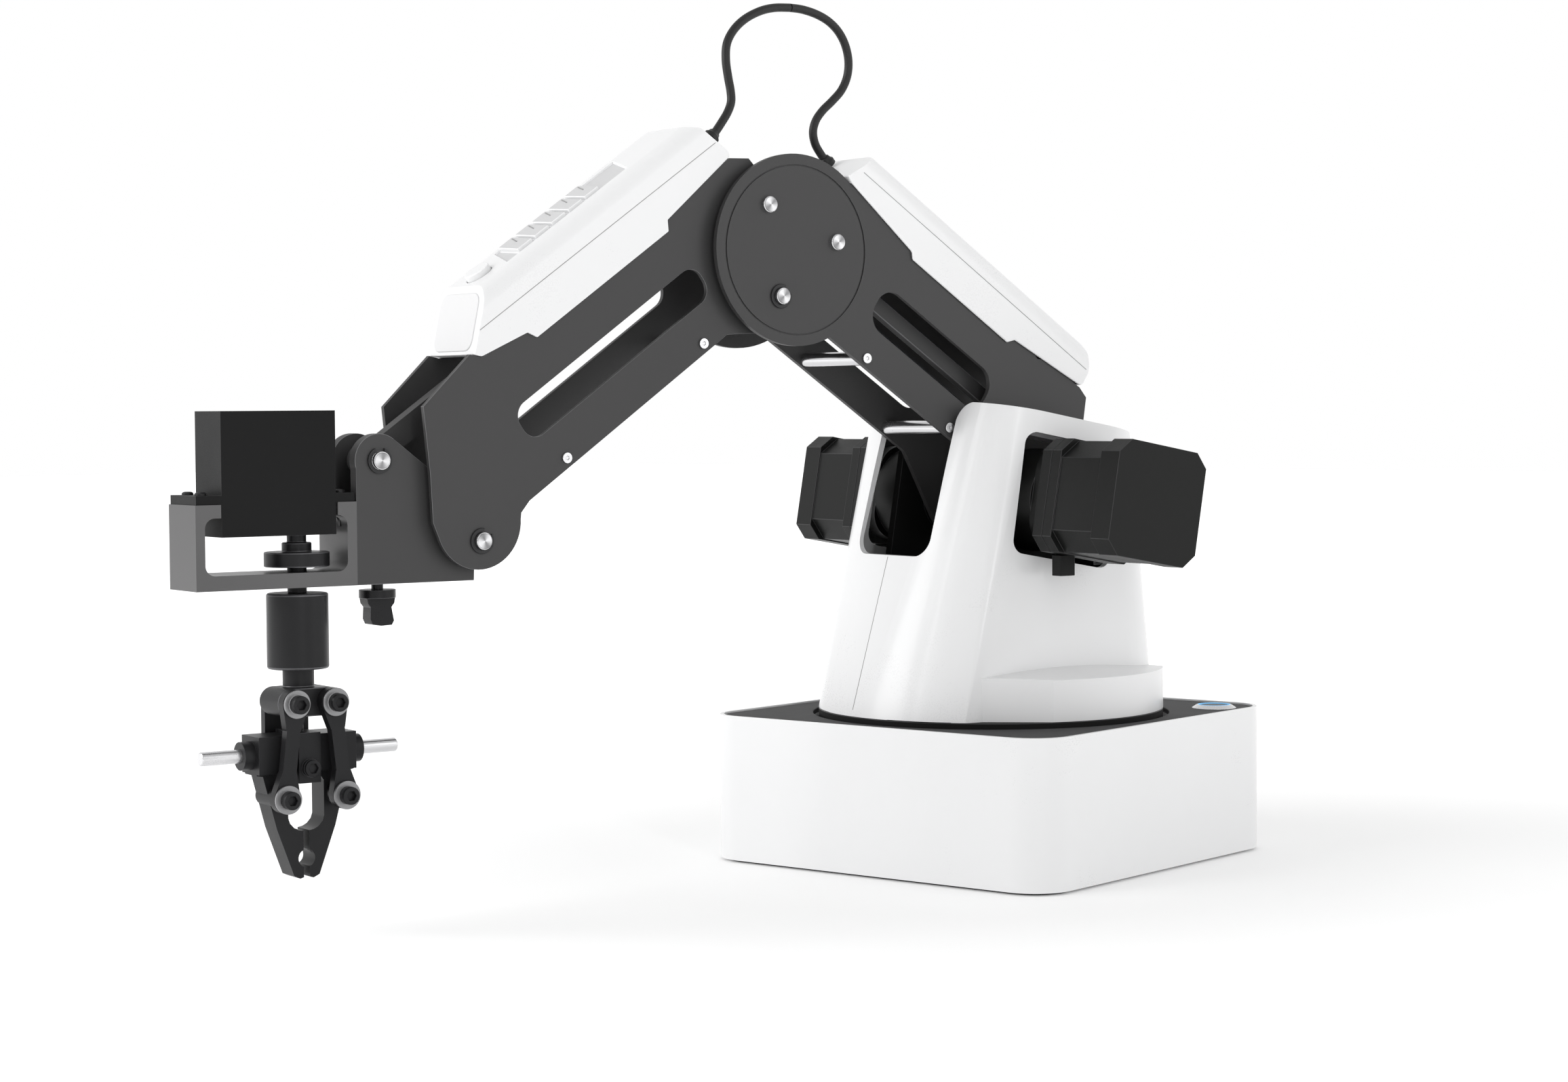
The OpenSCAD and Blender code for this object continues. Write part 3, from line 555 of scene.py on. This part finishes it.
# each route in mm in the turret's frame, chosen to follow the photograph; its depth is a guess
CABLE_R = 1.55
CABLE_FORE = [
    (135.5, 11, 269.6), (133, 10.6, 272), (130, 10, 275.4), (127, 9.4, 279.2), (125.2, 9, 283),
    (125, 8.5, 287), (125.7, 8, 292), (126.2, 7.4, 298), (125.2, 6.6, 304), (121.8, 6, 309.2),
    (116.4, 5.4, 313.6), (109.6, 5, 316.9), (103, 4.5, 318.6), (96, 4, 319.2),
]
CABLE_REAR = [
    (95.6, 4, 319.2), (89.6, 3.5, 319), (83, 3, 317.8), (77, 2.4, 315.6), (72, 1.6, 312.2),
    (68.4, 0.8, 307.6), (66.4, 0, 302), (66.6, -0.6, 296.4), (69, -1, 291.2), (73, -1.4, 287),
    (77, -1.8, 283.4), (80, -2, 279.6), (81.2, -2.2, 275.4), (80, -2.6, 271), (77.2, -2.8, 267.2),
    (74.2, -3, 264),
]


def cable(name, route, node):
    """Half of the cable, which runs between the two bodies that it joins."""
    path = [to_row(*p) for p in smooth_route(route)]
    sides = 20
    across = (to_row(0, 1, 0) - to_row(0, 0, 0)).normalized()
    rings = []
    for i, p in enumerate(path):
        t = (path[min(i + 1, len(path) - 1)] - path[max(i - 1, 0)]).normalized()
        u = t.cross(across).normalized()
        w = t.cross(u)
        ring = []
        for k in range(sides):
            a = 2 * math.pi * k / sides
            ring.append(p + (u * math.cos(a) + w * math.sin(a)) * CABLE_R / 1000)
        rings.append(ring)
    obj = solid(name, ring_surface(rings), [RUBBER], 50)
    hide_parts(node)
    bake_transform(obj)
    return obj


cable(
    "cable_to_forearm", CABLE_FORE, "cable_fore",
)
cable(
    "cable_to_rear_arm", list(reversed(CABLE_REAR)), "cable_rear",
)


# ---------------------------------------------------------------- stage and light
def paper():
    """Pale paper that grows brighter away from the object, so that no horizon shows."""
    material = finish("floor_paper", (0.92, 0.92, 0.92), 0.8, grain=60, bump=0.02, vary=0.004)
    tree = material.node_tree
    coords = tree.nodes.new("ShaderNodeTexCoord")
    far = tree.nodes.new("ShaderNodeVectorMath")
    far.operation = "LENGTH"
    tree.links.new(coords.outputs["Object"], far.inputs[0])
    glow = spread(tree, far.outputs["Value"], 0.1, 0.5, 0.15, 0.9)
    shade = tree.nodes["Principled BSDF"]
    shade.inputs["Emission Color"].default_value = (1, 1, 1, 1)
    tree.links.new(glow, shade.inputs["Emission Strength"])
    return material


def stage():
    half = 6.0
    bm = bmesh.new()
    for x, y in ((-half, -half), (half, -half), (half, half), (-half, half)):
        bm.verts.new((x, y, 0))
    bm.faces.new(bm.verts)
    floor = solid("floor", bm, [paper()])


def area_light(name, place, target, size, power):
    data = bpy.data.lights.new(name, "AREA")
    data.shape = "RECTANGLE"
    data.size, data.size_y = size
    data.energy = power
    light = bpy.data.objects.new(name, data)
    light.location = place
    light.rotation_euler = (Vector(target) - Vector(place)).to_track_quat("-Z", "Y").to_euler()
    scene.collection.objects.link(light)


CAMERA_SIDE = (0.66, 0.75, -0.05)


def light_scene():
    """A pale studio, dimmer overhead and on the camera's side; the camera itself sees plain white."""
    world = bpy.data.worlds.new("studio")
    world.use_nodes = True
    tree = world.node_tree
    background = tree.nodes["Background"]
    coords = tree.nodes.new("ShaderNodeTexCoord")
    facing = tree.nodes.new("ShaderNodeVectorMath")
    facing.operation = "DOT_PRODUCT"
    facing.inputs[1].default_value = CAMERA_SIDE
    tree.links.new(coords.outputs["Generated"], facing.inputs[0])
    level = spread(tree, facing.outputs["Value"], 0.95, 0.62, -0.2, 1.0)
    height = tree.nodes.new("ShaderNodeSeparateXYZ")
    tree.links.new(coords.outputs["Generated"], height.inputs[0])
    overhead = spread(tree, height.outputs["Z"], 1.08, 0.82, 0.25, 0.85)
    both = tree.nodes.new("ShaderNodeMath")
    both.operation = "MULTIPLY"
    tree.links.new(level, both.inputs[0])
    tree.links.new(overhead, both.inputs[1])
    level = both.outputs[0]
    seen = tree.nodes.new("ShaderNodeLightPath")
    mix = tree.nodes.new("ShaderNodeMix")
    tree.links.new(seen.outputs["Is Camera Ray"], mix.inputs["Factor"])
    tree.links.new(level, mix.inputs["A"])
    mix.inputs["B"].default_value = 1.0
    background.inputs["Color"].default_value = (1, 1, 1, 1)
    tree.links.new(mix.outputs["Result"], background.inputs["Strength"])
    scene.world = world
    area_light("key", (1.7, -1.1, 1.0), (0.05, 0, 0.15), (1.4, 1.2), 19)
    area_light("side", (-0.6, 1.9, 0.8), (0, 0, 0.12), (0.9, 1.4), 4.7)
    area_light("strip", (0.95, 1.45, 0.75), (0.03, 0.03, 0.1), (0.1, 1.3), 3.6)


stage()
light_scene()
scene.view_settings.view_transform = "Standard"


# ---------------------------------------------------------------- skins over the CAD nodes
PLAIN = {
    "base": [
        ("base_shell", [WHITE, WHITE_EDGE_HIGHLIGHT], 0.9, 4),
        ("base_bottom", [FEET], 0.3, 1),
        ("base_screws", [STEEL], 0.15, 1),
        ("top_plate", [RIM_DARK], 0.3, 2),
        ("button_ring", [STEEL], 0.25, 2),
        ("rear_sockets", [BLACK, BLACK_EDGE_HIGHLIGHT], 0.25, 2),
        ("control_board", [BOARD], 0.15, 1),
        ("yaw_motor", [BLACK, BLACK_EDGE_HIGHLIGHT], 0.4, 2),
        ("bearing_ring", [STEEL], 0.4, 2),
    ],
    "power_button": [("power_button", [STEEL], 0.5, 3)],
    "turret": [
        ("turntable", [INSIDE, BLACK_EDGE_HIGHLIGHT], 0.4, 2),
        ("inner_frame", [INSIDE, BLACK_EDGE_HIGHLIGHT], 0.3, 2),
        ("shoulder_gearbox", [BLACK, BLACK_EDGE_HIGHLIGHT], 0.5, 2),
        ("forearm_gearbox", [BLACK, BLACK_EDGE_HIGHLIGHT], 0.5, 2),
        ("shoulder_motor", [BLACK, BLACK_EDGE_HIGHLIGHT], 0.5, 3),
        ("forearm_motor", [BLACK, BLACK_EDGE_HIGHLIGHT], 0.5, 3),
    ],
    "rear_arm": [
        ("rear_plate_near", [PLATE, PLATE_EDGE_HIGHLIGHT], 0.28, 2),
        ("rear_plate_far", [PLATE, PLATE_EDGE_HIGHLIGHT], 0.28, 2),
        ("rear_spacers", [STEEL], 0.2, 2),
        ("rear_screws", [STEEL], 0.25, 2),
        ("elbow_disc_pins", [STEEL], 0.4, 3),
        ("elbow_pin", [STEEL], 0.3, 2),
        ("shoulder_hub", [STEEL], 0.4, 2),
    ],
    "rear_level_link": [("rear_level_link", [PLATE, PLATE_EDGE_HIGHLIGHT], 0.4, 2)],
    "elbow_triangle": [("elbow_triangle", [PLATE, PLATE_EDGE_HIGHLIGHT], 0.3, 2)],
    "forearm_level_link": [("forearm_level_link", [PLATE, PLATE_EDGE_HIGHLIGHT], 0.4, 2)],
    "crank": [("crank", [STEEL], 0.4, 2)],
    "crank_bush": [("crank_bush", [BRONZE], 0.15, 2)],
    "drive_rod": [("drive_rod", [PLATE, PLATE_EDGE_HIGHLIGHT], 0.4, 2)],
    "forearm": [
        ("forearm_plate_near", [PLATE, PLATE_EDGE_HIGHLIGHT], 0.28, 2),
        ("forearm_plate_far", [PLATE, PLATE_EDGE_HIGHLIGHT], 0.28, 2),
        ("forearm_spacers", [STEEL], 0.2, 2),
        ("forearm_screws", [STEEL], 0.25, 2),
        ("elbow_bushes", [BRONZE], 0.2, 2),
        ("wrist_pin", [STEEL], 0.3, 2),
    ],
    "unlock_button": [("unlock_button", [WHITE, WHITE_EDGE_HIGHLIGHT], 0.5, 3)],
    "wrist_bracket": [
        ("bracket_plates", [PLATE, PLATE_EDGE_HIGHLIGHT], 0.35, 2),
        ("bracket_block", [PLATE, PLATE_EDGE_HIGHLIGHT], 0.35, 2),
        ("servo_frame", [FRAME, PLATE_EDGE_HIGHLIGHT], 0.45, 2),
        ("tilt_pin", [STEEL], 0.3, 2),
    ],
    "thumb_screw": [("thumb_screw", [GRIP, GRIP_EDGE_HIGHLIGHT], 0.7, 3)],
    "tool": [
        ("tool_coupling", [GRIP, GRIP_EDGE_HIGHLIGHT], 0.4, 3),
        ("air_cylinder", [GRIP, GRIP_EDGE_HIGHLIGHT], 0.8, 3),
        ("crosshead", [GRIP, GRIP_EDGE_HIGHLIGHT], 0.4, 3),
    ],
    "gripper_block": [
        ("gripper_block", [GRIP, GRIP_EDGE_HIGHLIGHT], 0.4, 2),
        ("guide_rod", [STEEL], 0.5, 3),
    ],
    "finger_front": [("finger_front", [GRIP, GRIP_EDGE_HIGHLIGHT], 0.35, 3)],
    "finger_rear": [("finger_rear", [GRIP, GRIP_EDGE_HIGHLIGHT], 0.35, 3)],
    "link_front": [("link_front", [GRIP, GRIP_EDGE_HIGHLIGHT], 0.25, 2)],
    "link_rear": [("link_rear", [GRIP, GRIP_EDGE_HIGHLIGHT], 0.25, 2)],
}
for owner, entries in PLAIN.items():
    for node_name, mats, width, segments in entries:
        skin(node_name, owner, mats, width, segments)

tower = skin("tower_shell", "turret", [WHITE, WHITE_EDGE_HIGHLIGHT], 0.5, 3, angle=16)
skin("rear_cover", "rear_arm", [WHITE, WHITE_EDGE_HIGHLIGHT], 0.7, 3, angle=28)
fore_cover = skin("forearm_cover", "forearm", [WHITE, WHITE_EDGE_HIGHLIGHT], 0.6, 3, angle=28)
skin("servo", "wrist_bracket", [SERVO, BLACK_EDGE_HIGHLIGHT], 0.35, 2)


def skinned(node):
    return bpy.data.objects[node + "_skin"]


# ---------------------------------------------------------------- pins and their retaining clips
SHAFT_R = 3.06
PIN_FACE_R = 2.72
TILT_PIN = (35.8, 27.7)


def dark_clips(node, matrix, x, z):
    """Darkens what stands out beyond a pin's own shaft."""
    obj = skinned(node)
    obj.data.materials.append(STEEL_DARK)
    paint(obj, matrix, lambda px, py, pz: math.hypot(px - x, pz - z) > SHAFT_R, 1)


dark_clips("elbow_pin", REAR_FRAME, REAR_LEN, 0)
dark_clips("wrist_pin", FORE_FRAME, FORE_LEN, 0)
dark_clips("tilt_pin", WRIST_FRAME, *TILT_PIN)


def faced_end(name, matrix, x, z, y, radius, body, sign=1):
    """A thin cap of faced steel on a pin's end, at x and z in a link's frame, standing out from y."""
    count, inner = 48, 0.3  # the last two rings make the turner's centre mark
    bm = bmesh.new()
    uv = bm.loops.layers.uv.new("UVMap")
    profile = [
        (y - 0.1, radius), (y + 0.16, radius), (y + 0.3, radius - 0.16), (y + 0.3, inner), (y + 0.22, 0.02),
    ]
    rows = []
    for along, r in profile:
        row = []
        for k in range(count):
            a = 2 * math.pi * k / count
            point = Vector((x + r * math.cos(a), sign * along, z + r * math.sin(a)))
            row.append(bm.verts.new(matrix @ point))
        rows.append(row)
    back = matrix.inverted()
    for first, second in zip(rows, rows[1:]):
        for k in range(count):
            j = (k + 1) % count
            bm.faces.new((first[k], first[j], second[j], second[k]))
    bm.faces.new(rows[-1])
    bm.faces.new(list(reversed(rows[0])))
    bmesh.ops.recalc_face_normals(bm, faces=bm.faces)
    for face in bm.faces:
        for loop in face.loops:
            here = back @ loop.vert.co
            loop[uv].uv = (here.x - x, here.z - z)
    obj = solid(name, bm, [FACED_RINGS_AND_HIGHLIGHT], 30)
    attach(obj, body)
    return obj


PIN_ENDS = [
    ("elbow_pin", REAR_FRAME, REAR_LEN, 0, 22.4, "rear_arm"),
    ("disc_pin_front", REAR_FRAME, 157.3, 24.3, 21.7, "rear_arm"),
    ("disc_pin_rear", REAR_FRAME, 125.5, 30.4, 21.7, "rear_arm"),
    ("wrist_pin", FORE_FRAME, FORE_LEN, 0, 17.4, "forearm"),
    ("tilt_pin", WRIST_FRAME, *TILT_PIN, 12.7, "wrist_bracket"),
]
for pin, place, x, z, end, body in PIN_ENDS:
    faced_end(f"{pin}_face_near", place, x, z, end, PIN_FACE_R, body)
    faced_end(f"{pin}_face_far", place, x, z, end, PIN_FACE_R, body, -1)


# ---------------------------------------------------------------- gripper: grey washers and socket heads
# the links' upper and lower pins, in the tool's frame
GRIP_LINK = 31.3
HIGH_X, LOW_X = 7, 10.6
HIGH_Z = -51.4
LOW_Z = HIGH_Z - math.sqrt(GRIP_LINK**2 - 3.6**2)
WASHER_INNER, WASHER_OUTER = 3.08, 5
WASHER_FACE = 12.95
STUB_FACE, STUB_R, STUB_CUT = 16.3, 3.3, 1.5
HEAD_R, HEXAGON_R = 3.02, 1.5


def gripper_pin(node, body, x, z):
    """Shortens a pin's plain stub, puts a socket head round it and turns the washer under it grey."""
    obj = skinned(node)
    obj.data.materials.append(WASHER)
    back = TOOL_FRAME.inverted()
    for vertex in obj.data.vertices:
        px, py, pz = back @ vertex.co
        if py > STUB_FACE and math.hypot(px - x, pz - z) < STUB_R:
            vertex.co = TOOL_FRAME @ Vector((px, py - STUB_CUT, pz))
    paint(
        obj,
        TOOL_FRAME,
        lambda px, py, pz: py > WASHER_FACE and WASHER_INNER < math.hypot(px - x, pz - z) < WASHER_OUTER,
        2,
    )
    head = f"{node}_head_{'p' if x > 0 else 'm'}"
    socket_head(head, TOOL_FRAME, x, z, 15.2, 17.0, HEAD_R, HEXAGON_R, body, [GRIP])


for sign in (1, -1):
    gripper_pin("crosshead", "tool", sign * HIGH_X, HIGH_Z)
gripper_pin("finger_front", "finger_front", LOW_X, LOW_Z)
gripper_pin("finger_rear", "finger_rear", -LOW_X, LOW_Z)
socket_head("block_screw", TOOL_FRAME, 0, -73.2, 9.2, 10.6, 2.9, HEXAGON_R, "gripper_block", [GRIP])


# ---------------------------------------------------------------- seams between the white mouldings
SEAM_R = 0.13


def seam_on_side(name, matrix, x0, x1, z, half, body):
    """A straight bead on both sides of a cover, at one height."""
    for tag, y in (("near", half), ("far", -half)):
        ends = [matrix @ Vector((x0 + (x1 - x0) * k / 12, y, z)) for k in range(13)]
        tube(f"{name}_{tag}", ends, SEAM_R, body, [SEAM])


seam_on_side("rear_cover_seam", REAR_FRAME, 2, 130, 58.3, 21.2, "rear_arm")
seam_on_side("forearm_cover_seam", FORE_FRAME, -10.5, 106.5, 58.5, 16.3, "forearm")


def surface_seam(name, obj, points, direction, body):
    """A bead where rays from points, in mm in the turret's frame, meet a piece."""
    corners = [v.co for v in obj.data.vertices]
    tree = BVHTree.FromPolygons(corners, [tuple(p.vertices) for p in obj.data.polygons])
    aim = (TURRET.to_3x3() @ Vector(direction)).normalized()
    hits = [tree.ray_cast(TURRET @ Vector(p), aim)[0] for p in points]
    tube(name, [h for h in hits if h is not None], SEAM_R, body, [SEAM])


for tag, ahead in (("front", 1), ("back", -1)):
    starts = [(ahead * 120, -0.5, 60 + 57 * k / 24) for k in range(25)]
    surface_seam(f"tower_{tag}_seam", tower, starts, (-ahead, 0, 0), "turret")


# ---------------------------------------------------------------- forearm cover: nose panel and grip ridges
# heights above the link's axis, and distances along it
COVER_TOP = 69.3
CHANNEL_FLOOR, TILE_TOP, SLOT_HEIGHT = COVER_TOP - 0.7, COVER_TOP + 1.1, COVER_TOP + 1.05
NOSE_START = 95.6
TILES, FIRST_TILE, TILE_PITCH = 5, 37.3, 8.2
nose = Vector((17.4, 0, -16.3)).normalized()
out = Vector((16.3, 0, 17.4)).normalized()
nose_place = FORE_FRAME @ Matrix(
    (
        (0, nose.x, out.x, NOSE_START),
        (1, 0, 0, 0),
        (0, nose.z, out.z, COVER_TOP),
        (0, 0, 0, 1),
    )
)
nose_outline = rounded_box(-13.2, 2.4, 13.2, 22.6, 4)
# the nose panel is painted a greyer white than the cover: painted shade
prism("nose_panel", nose_place, nose_outline, -0.3, 0.45, "forearm", [NOSE_PAINTED_SHADE], 0.35, 3)

# the channel floor and the tile tops are painted a greyer white: painted shade on upward faces
fore_cover.data.materials.append(WHITE_PAINTED_SHADE)
painted_shade_slot = len(fore_cover.data.materials) - 1
for level in (CHANNEL_FLOOR, TILE_TOP):
    paint(
        fore_cover,
        FORE_FRAME,
        lambda px, py, pz: abs(pz - level) < 0.06 and abs(py) < 9 and 14 < px < 82,
        painted_shade_slot,
        all,
    )
for k in range(TILES):
    middle = FIRST_TILE + TILE_PITCH * k
    ends = [FORE_FRAME @ Vector((middle + x, y, SLOT_HEIGHT)) for x, y in ((-3.0, -5.8), (-0.8, 0.6))]
    tube(f"tile_slot_{k + 1}", ends, 0.28, "forearm", [SEAM])


# ---------------------------------------------------------------- power button, motors, servo and sockets
BUTTON = (-59.5, 64.5)
BUTTON_LIGHT = [(56.4, 5.96), (56.98, 5.96), (56.98, 6.32), (56.4, 6.32)]
button_place = BASE @ Matrix.Translation((*BUTTON, 0))


def ring(name, place, profile, body, materials, parts=64):
    """A turned ring: its section's points as height and radius, closed on itself."""
    loops = []
    for height, radius in profile:
        angles = [2 * math.pi * i / parts for i in range(parts)]
        loops.append([place @ Vector((radius * math.cos(a), radius * math.sin(a), height)) for a in angles])
    bm = ring_surface(loops, capped=False)
    bm.verts.ensure_lookup_table()
    first, last = bm.verts[:parts], bm.verts[-parts:]
    for i in range(parts):
        j = (i + 1) % parts
        bm.faces.new((last[i], last[j], first[j], first[i]))
    bmesh.ops.recalc_face_normals(bm, faces=bm.faces)
    obj = solid(name, bm, materials, 30)
    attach(obj, body)
    return obj


ring("button_light", button_place, BUTTON_LIGHT, "base", [GLOW])
skinned("power_button").data.materials.clear()
skinned("power_button").data.materials.append(STEEL_DARK)

CONNECTOR_AT = (10.4, 56.2)
CONNECTOR_LOW, CONNECTOR_HIGH = 110.8, 118.5
for tag, flip in (("near", 1), ("far", -1)):
    prism(
        f"motor_connector_{tag}",
        TURRET @ Matrix.Translation((CONNECTOR_AT[0], flip * CONNECTOR_AT[1], 0)),
        rounded_box(-3.6, -2.6, 3.6, 2.6, 0.5, 2),
        CONNECTOR_LOW,
        CONNECTOR_HIGH,
        "turret",
        [BLACK],
        0.25,
    )

SERVO_SCREW = [(17.2, 0.01), (17.2, 1.9), (17.9, 1.9), (18.3, 1.5), (18.4, 0.9), (17.9, 0.8), (17.9, 0.01)]
for x in (48.0, 97.4):
    for y in (-5, 5):
        lathe(
            f"servo_screw_{int(x)}_{'a' if y > 0 else 'b'}",
            SERVO_SCREW,
            (WRIST_FRAME, (x, y, 0)),
            (0, 0, 1),
            "wrist_bracket",
            [STEEL_DARK],
            24,
        )

# each rear socket's middle, width and height, and its two rows of contacts
SOCKET_FLOOR, ROW_GAP = 18.5, 2.8
CONTACT_BACK, CONTACT_FRONT, CONTACT_HALF = -76.5, -69.4, 0.32
SOCKETS = [(-48, 11, 11), (-22, 12, 11), (8, 28, 9), (46, 28, 9)]
contact = [
    (CONTACT_BACK, -CONTACT_HALF), (CONTACT_FRONT, -CONTACT_HALF),
    (CONTACT_FRONT, CONTACT_HALF), (CONTACT_BACK, CONTACT_HALF),
]
for n, (y, width, height) in enumerate(SOCKETS, 1):
    count = 2 if width < 20 else 8
    pitch = 3.6 if width < 20 else 2.6
    for k in range(count):
        for row in (0, 1):
            py = y + (k - (count - 1) / 2) * pitch
            pz = SOCKET_FLOOR + height / 2 + (row - 0.5) * ROW_GAP
            prism(
                f"socket_{n}_contact_{k + 1}_{row + 1}",
                BASE @ Matrix.Translation((0, py, pz)),
                contact,
                -CONTACT_HALF,
                CONTACT_HALF,
                "base",
                [GOLD],
                0.1,
                1,
            )


# ---------------------------------------------------------------- grommets
GROMMET = [(-1.2, 1.5), (-1.2, 3.0), (0.4, 3.0), (1.1, 2.4), (2.2, 2.1), (2.5, 1.75), (2.5, 1.5)]
GROMMET_AHEAD = 0.0004


def grommet(name, route, first, body):
    """A rubber ring where the cable enters a cover, at one end of its route."""
    here = to_row(*route[first])
    ahead = to_row(*route[first + (1 if first == 0 else -1)])
    axis = (ahead - here).normalized()
    turn = axis.to_track_quat("Z", "Y").to_matrix().to_4x4()
    place = Matrix.Translation(here + axis * GROMMET_AHEAD) @ turn
    place = place @ Matrix.Scale(0.001, 4)
    ring(name, place, GROMMET, body, [RUBBER], 32)


grommet("cable_grommet_forearm", CABLE_FORE, 0, "forearm")
grommet("cable_grommet_rear_arm", CABLE_REAR, len(CABLE_REAR) - 1, "rear_arm")
